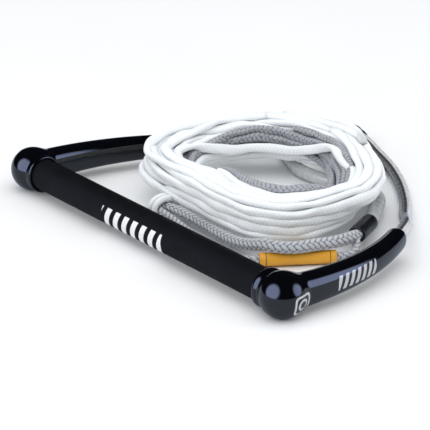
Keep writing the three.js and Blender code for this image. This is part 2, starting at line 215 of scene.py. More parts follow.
def tube_faces(rings, sides, closed=False):
    """Quads between rings of points, and uv places of their corners in (ring, side) steps."""
    last = rings if closed else rings - 1
    i, j = np.meshgrid(np.arange(last), np.arange(sides), indexing="ij")
    i, j = i.ravel(), j.ravel()
    across = [(i, j), (i, j + 1), (i + 1, j + 1), (i + 1, j)]
    faces = np.stack([(a % rings) * sides + b % sides for a, b in across], axis=1)
    steps = np.stack([np.stack([a, b], axis=-1) for a, b in across], axis=1)
    return faces, steps


def directions(path, up, closed=False):
    if closed:
        tangent = np.roll(path, -1, axis=0) - np.roll(path, 1, axis=0)
    else:
        tangent = np.gradient(path, axis=0)
    tangent = unit(tangent)
    side = unit(np.cross(tangent, up))
    return tangent, side, np.cross(side, tangent)


def swept(name, path, width, height, look, body, sides=16, up=(0, 0, 1), roll=0.0, relief=None,
          closed=False, square=2.0, **more):
    """A rope of oval section along a path. relief(along, round) lifts its surface.

    uv is (millimetres along, turns round).
    """
    count = len(path)
    _, side, top = directions(path, np.broadcast_to(np.asarray(up, float), path.shape), closed)
    along = np.concatenate([[0], np.cumsum(np.linalg.norm(np.diff(path, axis=0), axis=1))])
    width = np.broadcast_to(width, count)
    height = np.broadcast_to(height, count)
    if not closed:
        reach = np.minimum(width, height) / 2
        inset = np.clip(1 - np.minimum(along, along[-1] - along) / reach, 0, 1)
        shrink = np.sqrt(np.clip(1 - inset ** 2, 0.02, 1))
    else:
        shrink = np.ones(count)
    angle = np.linspace(0, 2 * math.pi, sides, endpoint=False)[None, :]
    power = 2 / square
    x = np.sign(np.cos(angle)) * np.abs(np.cos(angle)) ** power * (width * shrink)[:, None] / 2
    y = np.sign(np.sin(angle)) * np.abs(np.sin(angle)) ** power * (height * shrink)[:, None] / 2
    lift = np.zeros(x.shape)
    if relief is not None:
        lift = relief(along[:, None], angle) * shrink[:, None]
        x = x + lift * np.cos(angle)
        y = y + lift * np.sin(angle)
    turn = np.broadcast_to(roll, count)[:, None]
    x, y = x * np.cos(turn) - y * np.sin(turn), x * np.sin(turn) + y * np.cos(turn)
    points = path[:, None] + x[..., None] * side[:, None] + y[..., None] * top[:, None]
    faces, steps = tube_faces(count, sides, closed)
    uv_along = np.append(along, along[-1] + np.linalg.norm(path[0] - path[-1]))[steps[..., 0]]
    uv = np.stack([uv_along, steps[..., 1] / sides], axis=-1).reshape(-1, 2)
    points = points.reshape(-1, 3)
    faces = faces.tolist()
    if not closed:
        ends = [list(range(sides))[::-1], list(range((count - 1) * sides, count * sides))]
        for cap, place in zip(ends, (0.0, along[-1])):
            faces.append(cap)
            uv = np.vstack([uv, [[place, k / sides] for k in range(sides)]])
    piece = make(name, points, [f[::-1] for f in faces], look, body, reversed_uv(faces, uv), **more)
    if relief is not None:
        level = piece.data.attributes.new("relief", "FLOAT", "POINT")
        share = (lift - lift.min()) / (lift.max() - lift.min())
        level.data.foreach_set("value", share.ravel().astype(np.float32))
    return piece


def reversed_uv(faces, uv):
    out, start = [], 0
    for face in faces:
        out.append(uv[start:start + len(face)][::-1])
        start += len(face)
    return np.vstack(out)


def turned(name, profile, look, body, sides, axis_start, axis_end, **more):
    """A body turned about an axis. A profile is a closed run of (millimetres along the axis, radius)."""
    start, end = np.array([axis_start, axis_end], float)
    axis = unit(end - start)
    side = unit(np.cross(axis, [0, 0, 1]))
    top = np.cross(side, axis)
    angle = np.linspace(0, 2 * math.pi, sides, endpoint=False)
    spoke = np.cos(angle)[:, None] * top + np.sin(angle)[:, None] * side
    along, radius = np.asarray(profile, float).T
    points = start + along[:, None, None] * axis + radius[:, None, None] * spoke[None]
    faces, steps = tube_faces(len(profile), sides, closed=True)
    length = np.append(along, along[0])[steps[..., 0]]
    uv = np.stack([length, steps[..., 1] / sides], axis=-1).reshape(-1, 2)
    faces = faces.tolist()
    flipped = [f[::-1] for f in faces]
    return make(name, points.reshape(-1, 3), flipped, look, body, reversed_uv(faces, uv), **more)


def rounded(start, end, bore, radius, edge, steps=5):
    """Profile of a tube's wall from start to end with rounded outer edges, for turned()."""
    turn = np.linspace(0, math.pi / 2, steps)
    first = [(start + edge - edge * math.cos(t), radius - edge + edge * math.sin(t)) for t in turn]
    last = [(end - edge + edge * math.sin(t), radius - edge + edge * math.cos(t)) for t in turn]
    count = max(int((end - start) / 6), 1)
    between = [(start + edge + (end - start - 2 * edge) * k / count, radius) for k in range(1, count)]
    return first + between + last + [(end, bore), (start, bore)]


# ---- Solids from a distance function ----

def blend_join(a, b, width):
    h = np.clip(0.5 + 0.5 * (b - a) / width, 0, 1)
    return b + (a - b) * h - width * h * (1 - h)


def blend_keep(a, b, width):
    return -blend_join(-a, -b, width)


def surface(distance, low, high, cell):
    """Points and quads of the closed surface where distance() is zero, by surface nets drawn onto it."""
    low = np.asarray(low, float)
    axes = [np.arange(a, b + cell, cell) for a, b in zip(low, high)]
    grid = np.stack(np.meshgrid(*axes, indexing="ij"), axis=-1)
    inside = distance(grid.reshape(-1, 3)).reshape(grid.shape[:3]) < 0
    size = np.array(inside.shape)
    window = lambda i, j, k: inside[i:size[0] - 1 + i, j:size[1] - 1 + j, k:size[2] - 1 + k]
    full = sum(window(*c).astype(int) for c in itertools.product((0, 1), repeat=3))
    mixed = (full > 0) & (full < 8)
    index = np.full(mixed.shape, -1)
    index[mixed] = np.arange(mixed.sum())
    points = low + (np.argwhere(mixed) + 0.5) * cell
    faces = []
    for a in range(3):
        b, c = (a + 1) % 3, (a + 2) % 3
        now = np.take(inside, range(size[a] - 1), axis=a)
        then = np.take(inside, range(1, size[a]), axis=a)
        at = np.argwhere(now != then)
        step_b, step_c = np.eye(3, dtype=int)[b], np.eye(3, dtype=int)[c]
        around = (0 * step_b, step_b, step_b + step_c, step_c)
        quad = np.stack([index[tuple((at - s).T)] for s in around], axis=1)
        outward = now[tuple(at.T)]
        faces.append(np.where(outward[:, None], quad, quad[:, ::-1]))
    faces = np.vstack(faces)
    for _ in range(3):
        points = relaxed(points, faces)
        points = drawn_onto(distance, points, cell)
    return points, faces


def relaxed(points, faces):
    total = np.zeros_like(points)
    count = np.zeros(len(points))
    for k in range(4):
        for other in (faces[:, k - 1], faces[:, (k + 1) % 4]):
            np.add.at(total, faces[:, k], points[other])
            np.add.at(count, faces[:, k], 1)
    return points * 0.4 + total / count[:, None] * 0.6


def drawn_onto(distance, points, cell):
    probe = 0.02
    for _ in range(4):
        away = distance(points)
        slope = np.stack(
            [distance(points + step) - distance(points - step) for step in np.eye(3) * probe], axis=1
        ) / (2 * probe)
        move = away[:, None] * slope / np.maximum((slope ** 2).sum(1), 0.05)[:, None]
        points = points - np.clip(move, -cell, cell)
    return points


# ---- Materials ----

class Look:
    """A node material built up by short calls. A socket or a number goes wherever a value is asked for."""

    def __init__(self, name, **settings):
        self.material = bpy.data.materials.new(name)
        self.material.use_nodes = True
        self.tree = self.material.node_tree
        self.shader = self.tree.nodes["Principled BSDF"]
        self.set(**settings)

    def plug(self, socket, value):
        if isinstance(value, bpy.types.NodeSocket):
            self.tree.links.new(value, socket)
        elif isinstance(value, tuple) and len(value) == 3 and socket.type == "RGBA":
            socket.default_value = (*value, 1.0)
        else:
            socket.default_value = value

    def set(self, **settings):
        for name, value in settings.items():
            self.plug(self.shader.inputs[name.replace("_", " ")], value)

    def node(self, kind, **values):
        made = self.tree.nodes.new(kind)
        for name, value in values.items():
            setattr(made, name, value)
        return made

    def math(self, operation, a, b=0.0, c=0.0):
        made = self.node("ShaderNodeMath", operation=operation)
        for socket, value in zip(made.inputs, (a, b, c)):
            self.plug(socket, value)
        return made.outputs[0]

    def place(self):
        return self.node("ShaderNodeTexCoord").outputs["Object"]

    def split(self, vector):
        made = self.node("ShaderNodeSeparateXYZ")
        self.plug(made.inputs[0], vector)
        return made.outputs[0], made.outputs[1], made.outputs[2]

    def along_round(self):
        """Millimetres along the piece and turns round it."""
        made = self.node("ShaderNodeUVMap", uv_map="along_round")
        u, v, _ = self.split(made.outputs[0])
        return u, v

    def noise(self, scale, detail=2.0, vector=None, rough=0.5):
        made = self.node("ShaderNodeTexNoise")
        self.plug(made.inputs["Vector"], vector if vector is not None else self.place())
        made.inputs["Scale"].default_value = scale
        made.inputs["Detail"].default_value = detail
        made.inputs["Roughness"].default_value = rough
        return made.outputs["Fac"]

    def mix(self, share, a, b):
        made = self.node("ShaderNodeMix", data_type="RGBA")
        self.plug(made.inputs[0], share)
        self.plug(made.inputs[6], a)
        self.plug(made.inputs[7], b)
        return made.outputs[2]

    def times(self, a, b):
        return self.math("MULTIPLY", a, b)

    def apart(self, a, b):
        return self.math("ABSOLUTE", self.math("SUBTRACT", a, b))

    def band(self, value, low, high, edge):
        """1 between low and high, fading to 0 over edge on both sides."""
        return self.times(self.between(value, low - edge, low), self.between(value, high, high + edge, 1, 0))

    def between(self, value, low, high, to_low=0.0, to_high=1.0):
        made = self.node("ShaderNodeMapRange", interpolation_type="SMOOTHSTEP")
        for socket, number in zip(made.inputs, (value, low, high, to_low, to_high)):
            self.plug(socket, number)
        return made.outputs[0]

    def varied(self, scale, detail, low, high):
        """Between low and high, in soft patches of noise."""
        return self.between(self.noise(scale, detail), 0.3, 0.7, low, high)

    def bump(self, height, distance, strength=1.0):
        made = self.node("ShaderNodeBump")
        made.inputs["Strength"].default_value = strength
        made.inputs["Distance"].default_value = distance * MM
        self.plug(made.inputs["Height"], height)
        return made.outputs[0]

    def braid_pattern(self, carriers, lay):
        """Diamonds of two crossing sets of strands round the rope, from 0 in the grooves to 1."""
        along, turns = self.along_round()
        n = carriers / 2
        phase = self.times(turns, 2 * math.pi * n / 2)
        drift = self.times(along, 2 * math.pi * n / (2 * lay))
        first = self.math("ABSOLUTE", self.math("SINE", self.math("ADD", phase, drift)))
        second = self.math("ABSOLUTE", self.math("SINE", self.math("SUBTRACT", phase, drift)))
        return self.math("POWER", self.times(first, second), 0.5)

    def relief(self):
        """How far up the modelled braid's relief a place is, from 0 to 1."""
        return self.node("ShaderNodeAttribute", attribute_name="relief").outputs["Fac"]

    def occluded(self, colour, shade, reach, power):
        """The colour, turned towards shade in gaps and creases."""
        made = self.node("ShaderNodeAmbientOcclusion", samples=8, only_local=False)
        made.inputs["Distance"].default_value = reach * MM
        share = self.math("POWER", made.outputs["AO"], power)
        return self.mix(share, shade, colour)


def stripes(look, along, across, start, end, low, high, pitch, slant, duty):
    """1 on a row of slanted bars inside a band of the surface, else 0."""
    edge = 0.25
    inside = look.times(look.band(along, start, end, edge), look.band(across, low, high, edge))
    skewed = look.math("SUBTRACT", along, look.times(across, slant))
    phase = look.math("FRACT", look.math("DIVIDE", look.math("SUBTRACT", skewed, start), pitch))
    return look.times(inside, look.between(phase, duty, duty + 0.06, 1, 0))


def grip_look():
    look = Look("grip_foam_rubber", Specular_IOR_Level=0.14)
    pebble = look.noise(1400, 3)
    broad = look.noise(60, 3)
    along, turns = look.along_round()
    across = look.times(turns, 2 * math.pi * GRIP_RADIUS)
    mark = stripes(look, along, across, *GRIP_MARK)
    base = look.mix(broad, (0.0022, 0.0022, 0.0023), (0.0052, 0.0051, 0.0050))
    base = look.mix(look.between(pebble, 0.62, 0.78), base, (0.012, 0.012, 0.012))
    ink = look.mix(look.between(pebble, 0.25, 0.42), (0.22, 0.22, 0.23), (0.78, 0.78, 0.80))
    look.set(Base_Color=look.mix(mark, base, ink), Normal=look.bump(pebble, 0.25, 0.55))
    look.set(Roughness=look.between(broad, 0.3, 0.7, 0.62, 0.8))
    return look.material


def arm_look():
    look = Look("moulded_arm_gloss", Specular_IOR_Level=0.6)
    waviness = look.noise(45, 2)
    dust = look.noise(2600, 2)
    along, height = look.along_round()
    marks = stripes(look, along, height, *ARM_MARK)
    badge = badge_mask(look, along, height)
    ink = look.math("MAXIMUM", marks, badge)
    base = look.mix(look.between(dust, 0.68, 0.76), (0.0012, 0.0014, 0.0022), (0.006, 0.006, 0.007))
    look.set(Base_Color=look.mix(ink, base, (0.50, 0.51, 0.53)))
    look.set(Roughness=look.between(look.noise(120, 4), 0.35, 0.7, 0.06, 0.12))
    look.set(Normal=look.bump(waviness, 0.5, 0.10))
    return look.material


def badge_mask(look, along, height):
    """A rounded square outline with a ring in it."""
    centre_along, centre_height, half = ARM_BADGE
    corner_power, edge = 5.0, 0.3
    x, y = look.apart(along, centre_along), look.apart(height, centre_height)
    total = look.math("ADD", look.math("POWER", x, corner_power), look.math("POWER", y, corner_power))
    outline = look.band(look.math("POWER", total, 1 / corner_power), half - 1.4, half, edge)
    radius = look.math("SQRT", look.math("ADD", look.times(x, x), look.times(y, y)))
    return look.math("MAXIMUM", outline, look.band(radius, half * 0.36 + edge, half * 0.6, edge))


def bridle_look():
    """Milky coating over a dark braided core that lies to one side of it."""
    look = Look("coated_bridle", Specular_IOR_Level=0.5, Coat_Weight=0.6, Coat_Roughness=0.12)
    along, turns = look.along_round()
    wave = look.math("SINE", look.times(along, 2 * math.pi / 2.6))
    from_core = look.apart(turns, look.between(along, 30.0, 260.0, *CORE_SIDES))
    seen = look.between(look.math("ADD", from_core, look.times(wave, 0.012)), 0.12, 0.135, 1, 0)
    braid = look.braid_pattern(10, 22)
    dark = look.mix(braid, (0.018, 0.019, 0.021), (0.07, 0.072, 0.076))
    pale = look.mix(braid, (0.10, 0.105, 0.107), (0.23, 0.235, 0.238))
    core = look.mix(look.between(from_core, 0.035, 0.085), pale, dark)
    milk = look.mix(look.noise(90, 3), (0.63, 0.63, 0.635), (0.74, 0.74, 0.745))
    look.set(Base_Color=look.mix(seen, milk, core))
    look.set(Roughness=look.varied(200, 3, 0.22, 0.34))
    return look.material


def section_look():
    look = Look("coated_section", Specular_IOR_Level=0.5, Coat_Weight=0.7, Coat_Roughness=0.1)
    braid = look.braid_pattern(10, 22)
    clear = look.mix(look.noise(40, 3), (0.48, 0.49, 0.485), (0.58, 0.59, 0.585))
    inner = look.mix(braid, (0.30, 0.31, 0.31), (0.46, 0.47, 0.465))
    look.set(Base_Color=look.mix(0.1, clear, inner))
    look.set(Roughness=look.varied(200, 3, 0.2, 0.34))
    return look.material


def sleeve_look():
    look = Look("heat_shrink_sleeve", Specular_IOR_Level=0.35)
    wrinkle = look.noise(220, 4)
    look.set(Base_Color=look.mix(look.noise(60, 2), (0.004, 0.0045, 0.005), (0.010, 0.0105, 0.012)))
    look.set(Roughness=look.between(wrinkle, 0.3, 0.7, 0.26, 0.36), Normal=look.bump(wrinkle, 0.06, 0.2))
    return look.material


def rope_look(name, light, dark, carriers, lay, depth=0.3, glow=0.0, shade=0.6, raised=False):
    """Braided rope: fine fibres along each strand, painted shade in the braid's grooves, and painted shade
    between turns.
    """
    look = Look(name, Roughness=0.8, Specular_IOR_Level=0.2, Sheen_Weight=0.2, Sheen_Roughness=0.5)
    braid = look.relief() if raised else look.braid_pattern(carriers, lay)
    along, turns = look.along_round()
    stretched = look.node("ShaderNodeCombineXYZ")
    look.plug(stretched.inputs[0], look.times(along, 0.07))
    look.plug(stretched.inputs[1], look.times(turns, 22))
    fibre = look.noise(9, 3, stretched.outputs[0])
    patch = look.noise(35, 3)
    # Painted shade: the dark colour fills the braid's grooves, the light one its crowns.
    colour = look.mix(look.between(braid, *((0.25, 0.75) if raised else (0.05, 0.6))), dark, light)
    colour = look.mix(look.times(look.between(fibre, 0.35, 0.7), 0.3), colour, dark)
    colour = look.mix(look.times(look.between(patch, 0.45, 0.75), 0.15), colour, dark)
    # Painted shade between turns and in gaps, from ambient occlusion.
    crease = tuple(c * shade for c in dark)
    look.set(Base_Color=look.occluded(colour, crease, 2.5, 0.7))
    if glow:
        look.set(Subsurface_Weight=glow, Subsurface_Radius=(0.0022, 0.0022, 0.0023), Subsurface_Scale=1.0)
    height = look.math("ADD", braid, look.times(fibre, 0.7))
    look.set(Normal=look.bump(height, depth, 0.5))
    return look.material


def label_look():
    """Amber sleeve with plain ruled lines."""
    look = Look("amber_label", Roughness=0.38, Specular_IOR_Level=0.45, Coat_Weight=0.25, Coat_Roughness=0.2)
    along, turns = look.along_round()
    line, blur = 0.22, 0.15
    half_frame = LABEL_LENGTH / 2 - 5.2
    turned_by = look.times(turns, 2 * math.pi * LABEL_RADIUS)
    from_middle = look.apart(along, LABEL_LENGTH / 2)
    inside = look.between(from_middle, half_frame, half_frame + line, 1, 0)
    rule = look.between(look.apart(from_middle, half_frame), line, line + blur, 1, 0)
    for place in LABEL_RULES:
        drawn = look.between(look.apart(turned_by, place), line, line + blur, 1, 0)
        rule = look.math("MAXIMUM", rule, look.times(drawn, inside))
    amber = look.mix(look.noise(70, 3), (0.74, 0.335, 0.022), (0.86, 0.43, 0.035))
    look.set(Base_Color=look.mix(rule, amber, (0.03, 0.02, 0.012)))
    look.set(Normal=look.bump(look.noise(300, 3), 0.2, 0.25))
    return look.material


def metal_look(name, colour, rough, stretch):
    look = Look(name, Metallic=1.0, Base_Color=colour)
    mapped = look.node("ShaderNodeMapping")
    mapped.inputs["Scale"].default_value = stretch
    look.plug(mapped.inputs["Vector"], look.place())
    grain = look.noise(900, 3, mapped.outputs[0])
    look.set(Roughness=look.between(grain, 0.3, 0.7, rough - 0.08, rough + 0.08))
    look.set(Normal=look.bump(grain, 0.05, 0.3))
    return look.material


def plain_look(name, light, dark, scale, rough, depth):
    look = Look(name, Roughness=rough)
    grain = look.noise(scale, 4)
    look.set(Base_Color=look.mix(look.between(grain, 0.3, 0.7), dark, light))
    look.set(Normal=look.bump(grain, depth, 0.5))
    return look.material


# ---- Handle ----

GRIP_MARK = (-50.0, 33.0, 14.0, 36.5, 12.2, -0.35, 0.5)
ARM_MARK = (46.0, 92.0, 13.0, 24.5, 7.2, 0.35, 0.5)
ARM_BADGE = (8.5, 13.5, 8.2)
CORE_SIDES = (0.31, 0.41)


def grip():
    edge = 1.2
    profile = rounded(-GRIP_HALF, GRIP_HALF, 11.4, GRIP_RADIUS, edge)
    return turned(
        "grip", profile, grip_look(), "handle", 96, (0, 0, BAR_HEIGHT), (1, 0, BAR_HEIGHT),
        stands_for=["grip_sleeve"], slot="grip",
    )


ARM_PATH = starting_near(ring_centres("right_tail_core"), ELBOW)
ARM_LENGTH = 155.0
ARM_WIDTH = (12.5, 8.7)
ARM_HEIGHT = (14.5, 9.4)
LEG_RADIUS = 5.5


def arm_arc():
    """Centre and radius of the circle that the arm's centreline lies on, from the tail rope along it."""
    bent = ARM_PATH[1:-1]
    plan = bent[:, :2]
    fit = np.linalg.lstsq(np.c_[2 * plan, np.ones(len(plan))], (plan ** 2).sum(1), rcond=None)[0]
    return fit[:2], math.sqrt(fit[2] + (fit[:2] ** 2).sum())


ARC_CENTRE, ARC_RADIUS = arm_arc()


def arm_coordinates(points):
    """Millimetres along the right arm from the elbow, outwards from its centreline, and up from it."""
    spoke = points[:, :2] - ARC_CENTRE
    start = ELBOW[:2] - ARC_CENTRE
    angle = np.arctan2(start[0] * spoke[:, 1] - start[1] * spoke[:, 0], spoke @ start)
    return angle * ARC_RADIUS, np.linalg.norm(spoke, axis=1) - ARC_RADIUS, points[:, 2] - BAR_HEIGHT


def arm_distance(points):
    """Roughly the distance to the right arm's surface, below zero inside."""
    along, outward, up = arm_coordinates(points)
    share = np.clip(along / ARM_LENGTH, 0, 1) ** 0.75
    nose_length = 9.0
    nose = np.clip((along - ARM_LENGTH + nose_length) / nose_length, 0, 1.25)
    trim = 1 - 0.16 * nose ** 3
    half_width = (ARM_WIDTH[0] + (ARM_WIDTH[1] - ARM_WIDTH[0]) * share) * trim
    half_height = (ARM_HEIGHT[0] + (ARM_HEIGHT[1] - ARM_HEIGHT[0]) * share) * trim
    square = 2.35
    section = (np.abs(outward / half_width) ** square + np.abs(up / half_height) ** square) ** (1 / square)
    loft = (section - 1) * np.minimum(half_width, half_height)
    loft = blend_keep(loft, along - ARM_LENGTH, 3.0)
    loft = np.maximum(loft, -along - 2)
    ball = np.linalg.norm(points - ELBOW, axis=1) - ELBOW_RADIUS
    off_bar = np.hypot(points[:, 1], up)
    x = points[:, 0]
    waist = 1.9 * smoothstep(COLLAR_MOUTH + 2.5, COLLAR_MOUTH + 8.5, x)
    collar = blend_keep(off_bar - COLLAR_RADIUS + waist, COLLAR_MOUTH - x, 1.6)
    collar = np.maximum(collar, x - ELBOW[0])
    body = blend_join(blend_join(ball, loft, 5.0), collar, 2.4)
    body = blend_keep(body, -points[:, 2], 0.8)
    cup = np.maximum(off_bar - GRIP_RADIUS - 0.35, x - GRIP_HALF - 0.4)
    body = blend_keep(body, -cup, 0.7)
    mouth = np.maximum(np.hypot(outward, up) - LEG_RADIUS - 0.45, ARM_LENGTH - 16 - along)
    return blend_keep(body, -mouth, 1.6)


def arms():
    look = arm_look()
    low = [COLLAR_MOUTH - 18, -ELBOW_RADIUS - 2, -2]
    high = [ELBOW[0] + ELBOW_RADIUS + 2, ARM_PATH[-1][1] + 6, BAR_HEIGHT + ELBOW_RADIUS + 2]
    low[0] = min(low[0], ARM_PATH[:, 0].min() - 14)
    points, faces = surface(arm_distance, low, high, 1.1)
    along, outward, up = arm_coordinates(points)
    height = up + BAR_HEIGHT
    uv_points = np.stack([np.where(outward > 0, along, -1000), height], axis=1)
    for name, side in (("right", 1), ("left", -1)):
        shape = points * [side, 1, 1]
        turned_faces = faces if side > 0 else faces[:, ::-1]
        make(
            f"{name}_moulded_arm", shape, turned_faces, look, "handle", uv_points[turned_faces.ravel()],
            stands_for=[f"{name}_arm"], slot="moulded_arm",
        )


def bridle_ropes():
    look = bridle_look()
    bend = joint_place("handle_swing")
    for name, side in (("right", 1), ("left", -1)):
        tail = starting_near(ring_centres(f"{name}_tail_core"), ELBOW * [side, 1, 1])
        leg = starting_near(ring_centres(f"{name}_bridle_core"), tail[-1])
        tail = tail[np.linalg.norm(tail - tail[-1], axis=1) < 26]
        path = smooth_curve(np.vstack([tail, leg]), 1.3)
        rope = swept(
            f"{name}_bridle_rope", path, 2 * LEG_RADIUS, 2 * LEG_RADIUS, look, None, sides=24,
            slot="clear_jacket",
            stands_for=[f"{name}_{run}_{skin}" for run in ("tail", "bridle") for skin in ("core", "jacket")],
        )
        place = bend * [side, 1, 1]
        heading = unit(leg[0] - tail[-1])
        reach = 15.0
        first, last = ((place + heading * reach * k + ORIGIN) * MM for k in (-1, 1))
        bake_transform(rope)
        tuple(first)
        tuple(last)


# ---- Yoke, coated section and sleeve ----

def capsule(points, start, end, radius):
    axis = end - start
    share = np.clip((points - start) @ axis / (axis @ axis), 0, 1)
    return np.linalg.norm(points - start - share[:, None] * axis, axis=1) - radius


def slab(points, start, end):
    """Distance outside the slice of space between two planes across the line from start to end."""
    axis = unit(end - start)
    return np.maximum((start - points) @ axis, (points - end) @ axis)


def yoke():
    """Shrink sleeve round both bridle ropes and the single section rope."""
    section = ring_centres("section_core")
    legs = [ring_centres(f"{name}_bridle_core") for name in ("right", "left")]
    low, high = corners("yoke_sleeve")
    place = (low + high) / 2 - ORIGIN
    section = starting_near(section, place)
    legs = [starting_near(leg, place) for leg in legs]
    mouth = (legs[0][0] + legs[1][0]) / 2
    axis = unit(section[0] - mouth) * [1, 1, 0]
    axis = unit(axis)
    half = 17.0
    start, end = place - axis * half, place + axis * half
    across = unit((legs[0][0] - legs[1][0]) * [1, 1, 0])
    gap = np.linalg.norm((legs[0][0] - legs[1][0]) * [1, 1, 0]) / 2
    skin = 1.3

    def distance(points):
        sides = [across * gap * k for k in (1, -1)]
        twin = [capsule(points, start - axis * 6 + off, place + off, LEG_RADIUS + skin) for off in sides]
        single = capsule(points, place + axis * 2, end + axis * 6, 6.0 + skin)
        body = blend_join(blend_join(twin[0], twin[1], 3.5), single, 7.0)
        along = (points - place) @ axis
        ripple = 0.14 * np.sin(along * 1.1) + 0.1 * np.sin(along * 2.3 + 1)
        body = blend_keep(body + ripple, slab(points, start, end), 1.2)
        return blend_keep(body, 0.3 - points[:, 2], 0.8)

    reach = half + 12
    points, faces = surface(distance, place - reach, place + reach, 1.1)
    look = sleeve_look()
    make("bridle_yoke", points, faces, look, "line", stands_for=["yoke_sleeve"], slot="shrink_sleeve")


def coated_section():
    path = evenly(softened(smooth_curve(ring_centres("section_core"), 1.5), 12), 1.5)
    swept(
        "coated_section_rope", path, 12.0, 12.0, section_look(), "line", sides=24,
        stands_for=["section_core", "section_jacket"], slot="grey_jacket",
    )


SLEEVE_START, SLEEVE_END = starting_near(tube_ends("end_sleeve"), np.array([0, 300, 0]))
SLEEVE_RADIUS = 7.3
SLEEVE_LENGTH = float(np.linalg.norm(SLEEVE_END - SLEEVE_START))
LABEL_START, LABEL_END = starting_near(tube_ends("label_sleeve"), SLEEVE_END)
LABEL_LENGTH = float(np.linalg.norm(LABEL_END - LABEL_START))
LABEL_RADIUS = 5.6
LABEL_RULES = (14.0, 21.5)


def sleeve_place(along):
    return SLEEVE_START + unit(SLEEVE_END - SLEEVE_START) * along


def end_sleeve():
    profile = rounded(0, SLEEVE_LENGTH, 5.8, SLEEVE_RADIUS, 1.3)
    turned(
        "section_end_sleeve", profile, sleeve_look(), "line", 64, SLEEVE_START, SLEEVE_END,
        stands_for=["end_sleeve"], slot="shrink_sleeve",
    )


# ---- Eye, label and hitch ----

def braid_relief(carriers, lay, depth):
    """Height of a braid whose strands pass over two and under two, at a distance along and an angle round."""
    n = carriers // 2

    def height(along, angle):
        a = n * angle / (2 * math.pi) + n * along / lay
        b = n * angle / (2 * math.pi) - n * along / lay
        i, j = np.floor(a), np.floor(b)
        step = np.mod(i + j, 4)
        over = step < 2
        across = np.where(over, a - i, b - j)
        float_along = np.where(over, (np.mod(j + i, 2) + b - j) / 2, (np.mod(i + j, 2) + a - i) / 2)
        crown = np.sqrt(np.clip(1 - (2 * across - 1) ** 2, 0, 1))
        arch = np.sin(math.pi * np.clip(float_along, 0, 1))
        return depth * (crown * (0.55 + 0.45 * arch) - 0.6)

    return height


def eye_paths():
    """Centrelines of the thick spliced leg, from the sleeve to the far end, and of the single leg back."""
    upper = [
        sleeve_place(24.5), sleeve_place(SLEEVE_LENGTH),
        (113.5, 115, 16.8), (113.5, 101, 17.2), (109, 86, 17.2), (104, 70, 17.2), (94, 58.5, 17.2),
        (83, 54, 16.8), (68, 51.5, 12.5), (50, 50.5, 9.5), (30, 51, 9.2), (8, 52, 9.6), (-14, 51.5, 11),
        (-34, 49.5, 12), (-50, 47, 12),
    ]
    axis = unit(LABEL_END - LABEL_START)
    lower = [
        (-52, 44, 11.3), (-44, 41, 10.5), (-24, 40.5, 8), (0, 39.5, 5.0), (30, 36.5, 4.2), (58, 34.5, 4.2),
        (73, 35, 5),
        LABEL_END + axis * 3, LABEL_END, (LABEL_START + LABEL_END) / 2, LABEL_START, LABEL_START - axis * 3,
        (122.8, 114, 7), (118.5, 121.5, 10), sleeve_place(SLEEVE_LENGTH + 4), sleeve_place(SLEEVE_LENGTH - 6),
    ]
    return smooth_curve(upper, 0.7), smooth_curve(lower, 0.9)


def eye():
    # The dark colour is also the painted shade in the braid's grooves and between turns.
    light, dark = (0.56, 0.575, 0.61), (0.12, 0.125, 0.14)
    look = rope_look("grey_eye_braid", light, dark, 12, 26, depth=0.15, raised=True)
    upper, lower = eye_paths()
    along = np.linspace(0, 1, len(upper))
    thick = 10.2 - 1.9 * smoothstep(0.45, 0.9, along) - 1.2 * smoothstep(0.16, 0.0, along)
    swept(
        "eye_spliced_leg", upper, thick, thick * 0.94, look, "line", sides=56,
        relief=braid_relief(12, 30, 1.25), stands_for=["eye_loop"], slot="grey_braid",
    )
    thin = rope_look("grey_eye_single", light, dark, 8, 20, depth=0.15, raised=True)
    width = 7.0
    swept(
        "eye_single_leg", lower, width, width, thin, "line", sides=32,
        relief=braid_relief(8, 20, 0.6), slot="grey_braid",
    )


def label():
    profile = rounded(0, LABEL_LENGTH, 4.35, LABEL_RADIUS, 0.45)
    turned(
        "label_tag", profile, label_look(), "label", 64, LABEL_START, LABEL_END,
        stands_for=["label_sleeve"], slot="label",
    )


HITCH_REACH = (11.6, 8.4)


def hitch():
    """The main line's end: two turns side by side round the eye, with a tail of each led up into the coil."""
    centre = middle("lead_loop") - ORIGIN
    for k, name in ((-1, "hitch_turn_far"), (1, "hitch_turn_near")):
        x = centre[0] + 2.9 * k
        turn = np.linspace(0, 2 * math.pi, 48, endpoint=False)
        wide, tall = HITCH_REACH
        ring = np.stack([0 * turn, wide * np.cos(turn), tall * np.sin(turn)], axis=1) + [x, *centre[1:]]
        swept(
            name, ring, 5.7, 4.6, WHITE, "line", sides=16, up=(1, 0, 0), closed=True, slot="white_rope",
            **({"stands_for": ["lead_loop"]} if k > 0 else {}),
        )
        start = np.array([x, centre[1] + HITCH_REACH[0] * 0.45, centre[2] + HITCH_REACH[1] * 0.9])
        tail = smooth_curve([start, start + [-1.5 * k, 5, 4], start + [-5, 12, 8], start + [-9, 22, 10]], 1.2)
        swept(name.replace("turn", "tail"), tail, 5.6, 4.6, WHITE, "line", sides=14, slot="white_rope")


# ---- Coil ----

STATIONS = 150
WHITE_TURNS = 24
GREY_TURNS = 6
STRAND = 7.25
COIL_CENTRE = np.array([-21.0, 136.0])
COIL_BOTTOM = 17.2
DENTS = ((-88, 32, 18), (165, 22, 3), (218, 24, -8), (-32, 22, -13), (58, 20, 7), (8, 20, -5))
LEAN = (24, 32, 19)


def hump(degrees, at, spread):
    return np.exp(-(((degrees - at + 180) % 360 - 180) / spread) ** 2)


def bundle_size(degrees):
    """Half the bundle's width, and the heights of its lowest and topmost strands' middles, at an angle."""
    half_width = 16.4 + 8.5 * hump(degrees, 228, 42)
    bottom = COIL_BOTTOM - 4.0 * hump(degrees, -42, 45)
    top = 46.4 + 3.0 * hump(degrees, 150, 45) - 3.5 * hump(degrees, -60, 45)
    return half_width, bottom, top


